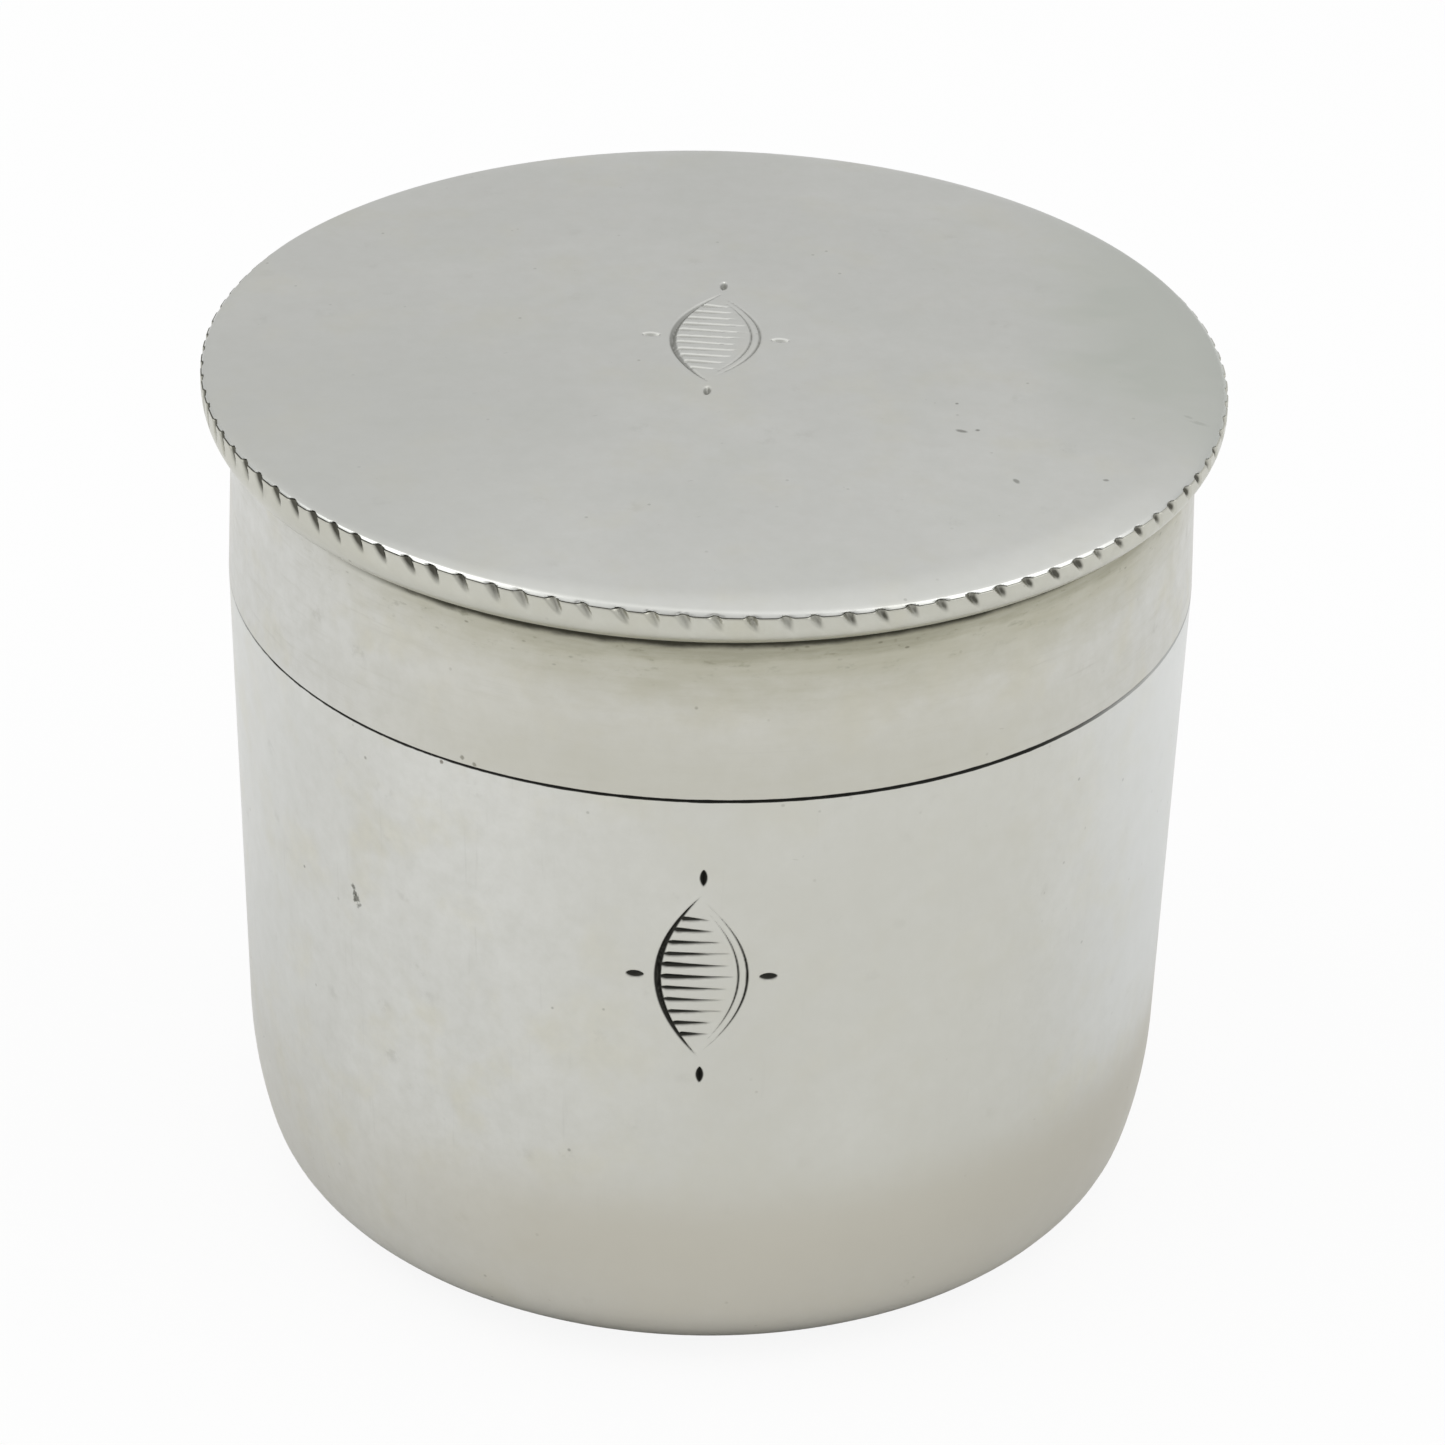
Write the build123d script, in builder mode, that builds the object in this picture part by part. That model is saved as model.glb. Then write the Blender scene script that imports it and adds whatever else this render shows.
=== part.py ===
from build123d import *
import os
from math import asin, cos, degrees, radians, sin, sqrt, tan

# A round silver pill box with a pull-off lid. Millimetres, +Z up.
# The origin is the centre of the flat that the box stands on.

# ---- Cup: one sheet of silver, raised with its rounded base ----
body_radius = 19.0  # outside, at the mouth
seam_height = 26.5  # from the base up to the mouth, where the lid's side starts
wall_thickness = 0.8
wall_lean = 1.6  # degrees by which the side draws in towards the base
belly_height = 6.9  # where the straight side starts to round under
belly_radius = 18.0  # the long round of the lower side
heel_radius = 3.6  # the tight round into the flat base
edge_break = 0.06  # bevels of the two lips, which make the fine line of the seam, and of the wire

# ---- Collar: a sleeve soldered in the mouth, over which the lid slips ----
collar_thickness = 0.5
collar_seat_depth = 4.0  # how far it reaches down into the cup
collar_rise = 5.0  # how far it stands up inside the lid
collar_lead_in = 0.2  # round on its top edge
solder_gap = 0.02  # room for solder between soldered pieces
slip_clearance = 0.05  # on radius, between the collar and the lid's side

# ---- Lid: a band, a domed plate and a notched wire, soldered together ----
band_height = 8.3  # from the seam up to the underside of the plate
band_draw_in = 0.25  # by which the band's outside is smaller at its top
plate_overhang = 0.9  # of the plate's edge past the cup's mouth
plate_thickness = 0.5
plate_rise = 0.3  # height of the dome over the plate's edge
plate_edge_round = 0.4  # on its upper edge
wire_height = 1.5
wire_flat = 0.4  # height of its face that stands upright, before it rounds under
wire_proud = 0.05  # of the wire past the plate's edge

# ---- Graver's notches in the wire ----
notch_count = 103
notch_first = -88.8  # degrees from +X to the first one, next to the front
notch_width = 0.64  # across its wide upper end
notch_depth = 0.38
notch_fall = 0.8  # how far down the wire it runs
notch_slant = 0.42  # how far it runs sideways over that fall

# ---- Engraved ornament: a hatched leaf with pips at its four points ----
engraving_depth = 0.12
body_leaf_height = 7.4
body_leaf_width = 3.6
body_leaf_drop = 7.8  # from the seam down to the middle of the leaf
lid_leaf_height = 7.8
lid_leaf_width = 3.6
lid_leaf_offset = 1.3  # from the lid's centre back to the middle of the leaf
lid_leaf_turn = -3.5  # degrees
outline_cut = 0.3  # width of the heavy side of the leaf
fine_cut = 0.14  # width of the two fine lines on its other side
fine_gap = 0.2  # between those two lines
tip_step = 0.3  # by which each line on that side stops short of the one outside it
hatch_count = 11
hatch_cut = 0.3  # width of a hatch stroke at its heavy end
pip_size = 0.75  # length of a pip
pip_gap = 0.35  # from the leaf's point to the pip

# ---- Worked out from the sizes above ----
mouth_bore_radius = body_radius - wall_thickness
collar_outer_radius = mouth_bore_radius - solder_gap
collar_inner_radius = collar_outer_radius - collar_thickness
collar_bottom = seam_height - collar_seat_depth
band_inner_radius = collar_outer_radius + slip_clearance
plate_underside = seam_height + band_height
plate_radius = body_radius + plate_overhang
lid_top = plate_underside + plate_thickness + plate_rise
dome_radius = (plate_radius**2 + plate_rise**2) / (2 * plate_rise)
wire_top = plate_underside - solder_gap
wire_bottom = wire_top - wire_height
wire_seat_radius = body_radius - band_draw_in * (wire_bottom - seam_height) / band_height + solder_gap
wire_radius = plate_radius + wire_proud
wire_shoulder = wire_top - wire_flat


def cup_section(inset, top):
    """Half section of the cup's outside, moved in by inset and filled up to a level top."""
    lean = radians(wall_lean)
    round_radius = belly_radius - inset
    belly_wall_radius = body_radius - (seam_height - belly_height) * tan(lean)
    centre_x = belly_wall_radius - belly_radius * cos(lean)
    centre_y = belly_height + belly_radius * sin(lean)
    foot_angle = degrees(asin((centre_y - inset) / round_radius))
    rim_x = body_radius - (seam_height - top) * tan(lean) - inset / cos(lean)
    with BuildSketch() as section:
        with BuildLine():
            belly = CenterArc((centre_x, centre_y), round_radius, -wall_lean, wall_lean - foot_angle)
            Polyline(belly @ 0, (rim_x, top), (0, top), (0, inset), belly @ 1)
        make_face()
        heel = section.vertices().group_by(Axis.Y)[0].sort_by(Axis.X)[-1]
        fillet(heel, radius=max(heel_radius - inset, wall_thickness / 2))
    return section.sketch


def ring_section(inner_radius, outer_radius, bottom, top):
    """Rectangular half section of a plain ring."""
    with BuildSketch() as section:
        with BuildLine():
            Polyline(
                (inner_radius, bottom),
                (outer_radius, bottom),
                (outer_radius, top),
                (inner_radius, top),
                close=True,
            )
        make_face()
    return section.sketch


def crescent(height, outer_sagitta, inner_sagitta):
    """A curved cut, upright, that tapers to nothing at both ends."""
    ends = (0, -height / 2), (0, height / 2)
    with BuildSketch() as cut:
        with BuildLine():
            SagittaArc(*ends, outer_sagitta)
            SagittaArc(*ends, inner_sagitta)
        make_face()
    return cut.sketch


def leaf_half_width(height, sagitta, level):
    """Distance from the leaf's middle line to an arc of its outline, at a level."""
    arc_radius = (height**2 / 4 + sagitta**2) / (2 * sagitta)
    return sqrt(arc_radius**2 - level**2) - (arc_radius - sagitta)


def leaf_ornament(height, width):
    """The ornament, upright, with its middle at the origin."""
    half = width / 2
    fine_half = half - fine_cut - fine_gap
    short_height = height - 2 * tip_step
    fine_height = height - 4 * tip_step
    with BuildSketch() as ornament:
        add(crescent(height, half, half - outline_cut))
        add(crescent(short_height, -half, fine_cut - half))
        add(crescent(fine_height, -fine_half, fine_cut - fine_half))
        for step in range(1, hatch_count + 1):
            level = fine_height * (step / (hatch_count + 1) - 0.5)
            left = -leaf_half_width(height, half - outline_cut / 2, level)
            right = leaf_half_width(fine_height, fine_half - fine_cut / 2, level)
            heavy_end = (left, level - hatch_cut / 2), (left, level + hatch_cut / 2)
            Polygon(heavy_end[0], (right, level), heavy_end[1], align=None)
        for reach, angle in ((height / 2, 90), (height / 2, 270), (half, 0), (half, 180)):
            with PolarLocations(reach + pip_gap + pip_size / 2, 1, start_angle=angle):
                Polygon(
                    (-pip_size / 2, 0),
                    (0, -pip_size / 4),
                    (pip_size / 2, 0),
                    (0, pip_size / 4),
                    align=None,
                )
    return ornament.sketch


cup_outside = cup_section(0, seam_height)
cup_inside = cup_section(wall_thickness, seam_height)
cup_core = cup_section(engraving_depth, seam_height)
collar_wall = ring_section(
    collar_inner_radius, collar_outer_radius, collar_bottom, seam_height + collar_rise
)
body_leaf = leaf_ornament(body_leaf_height, body_leaf_width)
lid_leaf = leaf_ornament(lid_leaf_height, lid_leaf_width)


# The cutter is everything that the leaf covers in front of the cup, down to the engraving's depth.
with BuildPart() as leaf_cutter:
    with BuildSketch(Plane.XZ.offset(body_radius + 1)):
        with Locations((0, seam_height - body_leaf_drop)):
            add(body_leaf)
    extrude(amount=-body_radius)
    with BuildSketch(Plane.XZ):
        add(cup_core)
    revolve(axis=Axis.Z, mode=Mode.SUBTRACT)

with BuildPart() as body_shell:
    with BuildSketch(Plane.XZ):
        add(cup_outside)
        add(cup_inside, mode=Mode.SUBTRACT)
    revolve(axis=Axis.Z)
    with BuildSketch(Plane.XY.offset(collar_bottom)):
        Circle(mouth_bore_radius)
    extrude(amount=collar_seat_depth, mode=Mode.SUBTRACT)
    mouth_edge = body_shell.edges().group_by(Axis.Z)[-1].sort_by(SortBy.LENGTH)[-1]
    chamfer(mouth_edge, length=edge_break)
    add(leaf_cutter.part, mode=Mode.SUBTRACT)
body_shell.part.label = "body_shell"

with BuildPart() as inner_collar:
    with BuildSketch(Plane.XZ):
        add(collar_wall)
    revolve(axis=Axis.Z)
    top_edge = inner_collar.edges().group_by(Axis.Z)[-1].sort_by(SortBy.LENGTH)[-1]
    fillet(top_edge, radius=collar_lead_in)
inner_collar.part.label = "inner_collar"

with BuildPart() as lid_band:
    with BuildSketch(Plane.XZ):
        with BuildLine():
            Polyline(
                (band_inner_radius, seam_height),
                (body_radius, seam_height),
                (body_radius - band_draw_in, plate_underside),
                (band_inner_radius, plate_underside),
                close=True,
            )
        make_face()
    revolve(axis=Axis.Z)
    lower_edges = lid_band.edges().group_by(Axis.Z)[0]
    chamfer(lower_edges, length=edge_break)
lid_band.part.label = "lid_band"

# The spheres lie on their sides, so that neither pole of their surfaces falls on the plate.
dome_centre = (0, 0, lid_top - dome_radius)
with BuildPart() as plate_hollow:
    with BuildSketch(Plane.XY.offset(plate_underside)):
        Circle(band_inner_radius)
    extrude(amount=plate_thickness + plate_rise)
    with Locations(dome_centre):
        Sphere(dome_radius - plate_thickness, rotation=(90, 0, 0), mode=Mode.INTERSECT)

with BuildPart() as lid_plate:
    with BuildSketch(Plane.XY.offset(plate_underside)):
        Circle(plate_radius)
    extrude(amount=plate_thickness + plate_rise)
    with Locations(dome_centre):
        Sphere(dome_radius, rotation=(90, 0, 0), mode=Mode.INTERSECT)
    rim_edge = lid_plate.edges().filter_by(GeomType.CIRCLE).group_by(Axis.Z)[-1]
    fillet(rim_edge, radius=plate_edge_round)
    add(plate_hollow.part, mode=Mode.SUBTRACT)
    with BuildSketch(Plane.XY.offset(lid_top)):
        with Locations(Location((0, lid_leaf_offset, 0), (0, 0, lid_leaf_turn))):
            add(lid_leaf)
    extrude(amount=-engraving_depth, mode=Mode.SUBTRACT)
lid_plate.part.label = "lid_plate"

# One notch: a square-section spike that lies in the wire's face, point down and to the right.
notch_start = Vector(wire_radius, -notch_slant / 2, wire_top)
notch_end = Vector(wire_radius - notch_depth / 4, notch_slant / 2, wire_top - notch_fall)
notch_axis = notch_end - notch_start
with BuildPart() as notch_cutter:
    with BuildSketch(Plane(notch_start, x_dir=(1, 0, 0), z_dir=notch_axis)):
        Polygon((-notch_depth, 0), (0, notch_width / 2), (notch_depth, 0), (0, -notch_width / 2), align=None)
    extrude(amount=notch_axis.length, taper=15)

with BuildPart() as rope_border:
    with BuildSketch(Plane.XZ):
        with BuildLine():
            round_face = EllipticalCenterArc(
                (wire_seat_radius, wire_shoulder),
                wire_radius - wire_seat_radius,
                wire_shoulder - wire_bottom,
                start_angle=-90,
                arc_size=90,
            )
            Polyline(
                round_face @ 1,
                (wire_radius, wire_top - edge_break),
                (wire_radius - edge_break, wire_top),
                (wire_seat_radius, wire_top),
                round_face @ 0,
            )
        make_face()
    revolve(axis=Axis.Z)
    with PolarLocations(0, notch_count, start_angle=notch_first):
        add(notch_cutter.part, mode=Mode.SUBTRACT)
rope_border.part.label = "rope_border"

os.makedirs("parts", exist_ok=True)
for piece in (body_shell, inner_collar, lid_band, lid_plate, rope_border):
    export_step(piece.part, f"parts/{piece.part.label}.step")
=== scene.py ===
import math
import random

import bmesh
import bpy
from mathutils import Matrix, Vector


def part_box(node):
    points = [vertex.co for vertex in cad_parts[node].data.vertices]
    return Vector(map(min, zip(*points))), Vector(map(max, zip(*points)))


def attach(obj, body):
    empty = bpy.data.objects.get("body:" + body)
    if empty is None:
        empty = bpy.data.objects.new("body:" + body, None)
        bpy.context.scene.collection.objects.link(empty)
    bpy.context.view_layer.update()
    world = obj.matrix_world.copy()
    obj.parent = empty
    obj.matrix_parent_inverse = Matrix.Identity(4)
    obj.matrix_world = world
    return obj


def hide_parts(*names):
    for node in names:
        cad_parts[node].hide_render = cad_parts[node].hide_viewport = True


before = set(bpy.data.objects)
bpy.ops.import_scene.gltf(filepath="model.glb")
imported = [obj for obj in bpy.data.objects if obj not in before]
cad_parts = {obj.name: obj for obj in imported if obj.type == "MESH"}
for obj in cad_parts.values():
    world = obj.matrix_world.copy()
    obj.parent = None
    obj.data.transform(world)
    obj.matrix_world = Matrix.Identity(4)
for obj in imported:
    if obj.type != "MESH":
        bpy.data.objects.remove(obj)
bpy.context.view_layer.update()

mm = 0.001


# ---------------------------------------------------------------------------------------------
# The cup: one sheet of silver raised into a straight-sided cup, with its base rounded under in
# the same piece. The outside is planished, rubbed satin and worn. A hatched leaf is cut in the
# front with a graver, and the cuts have gone dark.
# ---------------------------------------------------------------------------------------------
cup_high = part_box("body_shell")[1]
cup_radius = cup_high[0]
cup_height = cup_high[2]
cup_wall = 0.8 * mm
cup_lean = math.radians(1.6)
belly_height = 6.9 * mm
belly_radius = 18.0 * mm
heel_radius = 3.6 * mm
lip_bevel = 0.06 * mm
mouth_bore = cup_radius - cup_wall
seat_depth = 4.0 * mm

leaf_drop = 7.8 * mm  # from the mouth down to the middle of the leaf
leaf_height = 7.4 * mm
leaf_width = 3.6 * mm
cut_field_width = 7.0 * mm  # of the finely divided silver round the leaf
cut_field_height = 10.4 * mm
cut_grain = 0.05 * mm  # spacing of that finely divided silver
cut_slope = 0.9  # depth of a cut over half its width
cut_dark = 0.1 * mm  # depth from which a cut is at its darkest


def arc_points(centre, radius, start, end, count):
    """Points on an arc in a half section, from one angle to the other."""
    turns = [start + (end - start) * step / (count - 1) for step in range(count)]
    return [(centre[0] + radius * math.cos(t), centre[1] + radius * math.sin(t)) for t in turns]


def cup_side(inset):
    """The side of the cup moved in by inset: its foot arcs, up to where the straight side starts."""
    round_radius = belly_radius - inset
    corner = max(heel_radius - inset, cup_wall / 2)
    wall_foot = cup_radius - (cup_height - belly_height) * math.tan(cup_lean)
    belly_x = wall_foot - belly_radius * math.cos(cup_lean)
    belly_z = belly_height + belly_radius * math.sin(cup_lean)
    corner_z = inset + corner
    corner_x = belly_x + math.sqrt((round_radius - corner) ** 2 - (belly_z - corner_z) ** 2)
    meet = math.atan2(corner_z - belly_z, corner_x - belly_x)
    heel = arc_points((corner_x, corner_z), corner, -math.pi / 2, meet, 12)
    belly = arc_points((belly_x, belly_z), round_radius, meet, -cup_lean, 16)
    return heel + belly[1:]


def level_points(start, end, spacing):
    """Evenly spaced points from start to end, both included, no further apart than spacing."""
    count = max(1, math.ceil(math.dist(start, end) / spacing))
    return [
        tuple(a + (b - a) * step / count for a, b in zip(start, end)) for step in range(count + 1)
    ]


def wall_point(height, inset=0.0):
    """The point of the straight side at a height."""
    return cup_radius - (cup_height - height) * math.tan(cup_lean) - inset, height


def bearing(point):
    """Angle of a point round the box, from the front towards +X."""
    return math.atan2(point.x, -point.y)


def ring_point(angle, radius, height):
    """The point at an angle round the box, a distance from its axis and a height."""
    return Vector((radius * math.sin(angle), -radius * math.cos(angle), height))


def ring(mesh, steps):
    """A ring of edges round the box's axis."""
    bmesh.ops.create_circle(mesh, segments=steps, radius=1 * mm)
    return list(mesh.edges)


def grow(mesh, rim, place):
    """Extrudes a ring of edges and puts each new corner at place(corner.co)."""
    made = bmesh.ops.extrude_edge_only(mesh, edges=rim)["geom"]
    for corner in [part for part in made if isinstance(part, bmesh.types.BMVert)]:
        corner.co = place(corner.co)
    return [part for part in made if isinstance(part, bmesh.types.BMEdge)]


def turn(mesh, rim, line):
    """Turns a half section, a line of radius and height, out of a ring of edges."""
    for corner in {corner for edge in rim for corner in edge.verts}:
        corner.co = ring_point(bearing(corner.co), *line[0])
    for radius, height in line[1:]:
        rim = grow(mesh, rim, lambda point: ring_point(bearing(point), radius, height))
    return rim


def close_up(mesh, gap=0.002 * mm):
    """Merges doubled corners and turns every face outwards."""
    bmesh.ops.remove_doubles(mesh, verts=mesh.verts, dist=gap)
    bmesh.ops.recalc_face_normals(mesh, faces=mesh.faces)


def finished(mesh, name, material, body, node, crease=35):
    """Makes a smooth-shaded object of a mesh, in place of a node of the frame."""
    data = bpy.data.meshes.new(name)
    mesh.to_mesh(data)
    mesh.free()
    piece = bpy.data.objects.new(name, data)
    bpy.context.scene.collection.objects.link(piece)
    data.materials.append(material)
    data.shade_smooth()
    data.set_sharp_from_angle(angle=math.radians(crease))
    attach(piece, body)
    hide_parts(node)


# A stroke is (start, end, bend, heavy width, shape). A "spindle" swells in its middle, and a
# "wedge" is heavy where it starts.
def leaf_strokes(height, width, hand):
    """The cuts of a hatched leaf, as an engraver makes them one after another, about its middle."""
    half = width / 2
    inner_half = half - 0.34 * mm
    outer, inner = height - 0.6 * mm, height - 1.2 * mm
    heavy_inset, fine_inset = 0.14 * mm, 0.07 * mm
    hatches = 11
    strokes = [
        ((0, -height / 2), (0, height / 2), half - heavy_inset, 0.34 * mm, "spindle"),
        ((0, -outer / 2), (0, outer / 2), fine_inset - half, 0.17 * mm, "spindle"),
        ((0, -inner / 2), (0, inner / 2), fine_inset - inner_half, 0.15 * mm, "spindle"),
    ]
    for step in range(1, hatches + 1):
        level = inner * (step / (hatches + 1) - 0.5)
        left = (half - heavy_inset) * (1 - (2 * level / height) ** 2)
        right = inner_half * (1 - (2 * level / inner) ** 2)
        tilt = hand.uniform(-0.05, 0.05) * mm
        reach = hand.uniform(0.86, 1.0)
        heavy = hand.uniform(0.25, 0.34) * mm
        strokes.append(((-left, level + tilt), (right * reach, level - tilt), 0, heavy, "wedge"))
    pip_length, pip_width, pip_gap = 0.75 * mm, 0.36 * mm, 0.35 * mm
    for x, z in ((0, height / 2), (0, -height / 2), (half, 0), (-half, 0)):
        way = Vector((x, z)).normalized()
        near = Vector((x, z)) + way * pip_gap
        far = near + way * pip_length
        strokes.append((tuple(near), tuple(far), 0, pip_width, "spindle"))
    return strokes


def cut_depth(across, up, strokes):
    """How deep the strokes' V-cuts are at a point."""
    deepest = 0.0
    for (x0, y0), (x1, y1), bend, heavy, shape in strokes:
        run_x, run_y = x1 - x0, y1 - y0
        square = run_x * run_x + run_y * run_y
        along = ((across - x0) * run_x + (up - y0) * run_y) / square
        if not 0 < along < 1:
            continue
        aside = ((up - y0) * run_x - (across - x0) * run_y) / math.sqrt(square)
        aside -= bend * 4 * along * (1 - along)
        if abs(aside) > heavy / 2:
            continue
        if shape == "spindle":
            half = heavy / 2 * math.sin(math.pi * along) ** 0.55
        else:
            half = heavy / 2 * (1 - along) ** 0.8 * min(1, along * 9) ** 0.5
        deepest = max(deepest, half - abs(aside))
    return deepest * cut_slope


def engrave(mesh, place, strokes, inwards):
    """Sinks the strokes into a mesh and keeps how deep each corner went in the attribute "cut"."""
    cut = mesh.verts.layers.float.new("cut")
    for corner in mesh.verts:
        spot = place(corner.co)
        if spot is None:
            continue
        depth = cut_depth(*spot, strokes)
        if depth > 0:
            corner.co += inwards(corner.co) * depth
            corner[cut] = min(1, depth / cut_dark)


hand = random.Random(7)
cup = bmesh.new()
foot = cup_side(0)
well = cup_side(cup_wall)
field_bottom = cup_height - leaf_drop - cut_field_height / 2
field_top = field_bottom + cut_field_height
lip = wall_point(cup_height - lip_bevel)
ledge = cup_height - seat_depth
cup_line = level_points((1 * mm, 0.0), foot[0], 2 * mm) + foot[1:]
cup_line += level_points(foot[-1], wall_point(field_bottom), 1 * mm)[1:]
cup_line += level_points(wall_point(field_bottom), wall_point(field_top), cut_grain)[1:]
cup_line += level_points(wall_point(field_top), lip, 0.8 * mm)[1:]
cup_line += [(lip[0] - lip_bevel, cup_height), (mouth_bore, cup_height), (mouth_bore, ledge)]
cup_line += [wall_point(ledge, cup_wall)] + well[::-1] + [(1 * mm, cup_wall)]
start = ring(cup, 180)
half_field = cut_field_width / 2 / cup_radius
middles = {edge: (edge.verts[0].co + edge.verts[1].co) / 2 for edge in start}
front = [edge for edge in start if abs(bearing(middles[edge])) < half_field]
bmesh.ops.subdivide_edges(cup, edges=front, cuts=13)
start = list(cup.edges)
end = turn(cup, start, cup_line)
bmesh.ops.contextual_create(cup, geom=start)
bmesh.ops.contextual_create(cup, geom=end)
close_up(cup)


def on_cup_front(point):
    """Where a point of the cup's outside lies about the leaf's middle, if it is near the leaf."""
    if point.y > 0 or not field_bottom < point.z < field_top or abs(point.x) > cut_field_width / 2:
        return None
    radius = math.hypot(point.x, point.y)
    if radius < wall_point(point.z)[0] - cup_wall / 2:
        return None
    return bearing(point) * radius, point.z - (cup_height - leaf_drop)


def to_axis(point):
    """The level way from a point to the box's axis."""
    return Vector((-point.x, -point.y, 0)).normalized()


engrave(cup, on_cup_front, leaf_strokes(leaf_height, leaf_width, hand), to_axis)


class Signal:
    """A shader socket in a sum. Each operator adds the Math node that works it out."""

    def __init__(self, finish, socket):
        self.finish = finish
        self.socket = socket

    def math(self, operation, *values):
        return self.finish.node("Math", {"operation": operation}, *values)

    def __add__(self, other):
        return self.math("ADD", self, other)

    def __sub__(self, other):
        return self.math("SUBTRACT", self, other)

    def __rsub__(self, other):
        return self.math("SUBTRACT", other, self)

    def __mul__(self, other):
        return self.math("MULTIPLY", self, other)

    def over(self, other):
        """The greater of the two."""
        return self.math("MAXIMUM", self, other)

    def size(self):
        return self.math("ABSOLUTE", self)

    def step(self, low, high):
        """0 below low, 1 above high and a soft rise between them, or a fall if low is the higher."""
        if low > high:
            return 1 - self.step(high, low)
        return self.finish.node("MapRange", {"interpolation_type": "SMOOTHSTEP"}, self, low, high)


class Finish:
    """The nodes of a material or of the world, and the place that their patterns are laid out on."""

    def __init__(self, holder, coordinates="Object"):
        holder.use_nodes = True
        self.holder = holder
        self.nodes = holder.node_tree.nodes
        self.links = holder.node_tree.links
        self.place = self.node("TexCoord", {}, output=coordinates)

    def node(self, kind, settings, *values, output=0, **named):
        """Adds a node of a kind, sets it up, gives its sockets values or links, returns an output."""
        made = self.nodes.new("ShaderNode" + kind)
        for setting, value in settings.items():
            setattr(made, setting, value)
        for key, value in list(enumerate(values)) + list(named.items()):
            self.feed(made.inputs[key], value)
        return Signal(self, made.outputs[output])

    def feed(self, socket, value):
        """Links a signal to a socket, or sets the socket to a plain value."""
        if isinstance(value, Signal):
            self.links.new(value.socket, socket)
        else:
            socket.default_value = value

    def axis(self, number):
        """One coordinate of the place."""
        return self.node("SeparateXYZ", {}, self.place, output=number)

    def at(self, sizes, centre=(0, 0, 0), turned=(0, 0, 0)):
        """The place as seen from a centre, turned, and measured in sizes along each axis."""
        sizes = sizes if isinstance(sizes, tuple) else (sizes,) * 3
        return self.node("Mapping", {"vector_type": "TEXTURE"}, self.place, centre, turned, sizes)

    def cloud(self, sizes, seed, detail=3.0, rough=0.5):
        """Soft noise from 0 to 1 whose features have about these sizes."""
        spot = self.at(sizes, (0.031 * seed, 0.017 * seed, 0.023 * seed))
        return self.node("TexNoise", {}, Vector=spot, Scale=1.0, Detail=detail, Roughness=rough)

    def dots(self, sizes, reach, seed, turned=(0, 0, 0)):
        """1 at scattered points about sizes apart, falling to 0 at reach, which is a share of sizes."""
        spot = self.at(sizes, (0.013 * seed, 0.029 * seed, 0.019 * seed), turned)
        return self.node("TexVoronoi", {}, Vector=spot, Scale=1.0).step(reach, reach * 0.4)

    def spot(self, centre, sizes, turned=(0, 0, 0), ragged=0.0):
        """1 at a centre, falling to 0 at an ellipsoid of half sizes about it, with a ragged edge."""
        away = self.length(self.at(sizes, centre, turned))
        if ragged:
            away = away + (self.cloud(0.22 * mm, 3) - 0.5) * ragged
        return away.step(1.0, 0.4)

    def length(self, vector):
        """How long a vector is."""
        return self.node("VectorMath", {"operation": "LENGTH"}, vector, output=1)

    def blend(self, amount, first, second):
        """A colour that goes from first to second by amount."""
        made = self.nodes.new("ShaderNodeMix")
        made.data_type = "RGBA"
        factor, colour_a, colour_b, colour_out = 0, 6, 7, 2
        self.feed(made.inputs[factor], amount)
        self.feed(made.inputs[colour_a], first)
        self.feed(made.inputs[colour_b], second)
        return Signal(self, made.outputs[colour_out])


def share_of(tint, red, green, blue):
    """A colour with each of its channels brought down to a share."""
    return tint[0] * red, tint[1] * green, tint[2] * blue, 1


def silver(name, tint, gloss, wear, seed):
    """Satin silver, rubbed by hand: faintly cloudy and yellowed, with pits, blurs and scratches."""
    finish = Finish(bpy.data.materials.new(name))
    wide = finish.cloud(9 * mm, seed)
    patch = finish.cloud(3.2 * mm, seed + 1, rough=0.6)
    mottle = finish.cloud(0.8 * mm, seed + 2, 4, 0.68)
    pits = finish.dots(1.35 * mm, 0.07, seed) * patch.step(0.42, 0.6)
    blurs = finish.dots((2.6 * mm, 2.6 * mm, 1.9 * mm), 0.22, seed + 3)
    blurs = blurs * mottle.step(0.45, 0.65)
    short_ticks = finish.dots((1.9 * mm, 1.9 * mm, 7 * mm), 0.03, seed + 4, (0.5, 0.5, 0.2))
    level_ticks = finish.dots((26 * mm, 1.8 * mm, 1.8 * mm), 0.022, seed + 5, (0, 0.25, 0.4))
    long_ticks = finish.dots((1.9 * mm, 1.9 * mm, 40 * mm), 0.022, seed + 6, (0.25, 0.3, 0))
    ticks = short_ticks.over(level_ticks).over(long_ticks * 0.8)
    tone = finish.blend(wide.step(0.35, 0.65), tint, share_of(tint, 0.955, 0.955, 0.955))
    yellow = patch.step(0.48, 0.74) * wear * 0.5
    tone = finish.blend(yellow, tone, share_of(tint, 0.94, 0.91, 0.79))
    dim = (mottle - 0.5) * wear * 0.75 + 0.14
    tone = finish.blend(dim, tone, share_of(tint, 0.74, 0.735, 0.69))
    tone = finish.blend(blurs * wear * 0.14, tone, (0.26, 0.25, 0.21, 1))
    specks = pits.over(ticks * 0.6) * wear * 0.55
    finish.colour = finish.blend(specks, tone, (0.14, 0.135, 0.11, 1))
    finish.gloss = (wide - 0.5) * 0.1 + (patch - 0.5) * 0.12 + pits * 0.1 + gloss
    finish.height = wide * 2.0 + patch * 0.6 - pits * 0.25 - ticks * 0.1
    return finish


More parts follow.
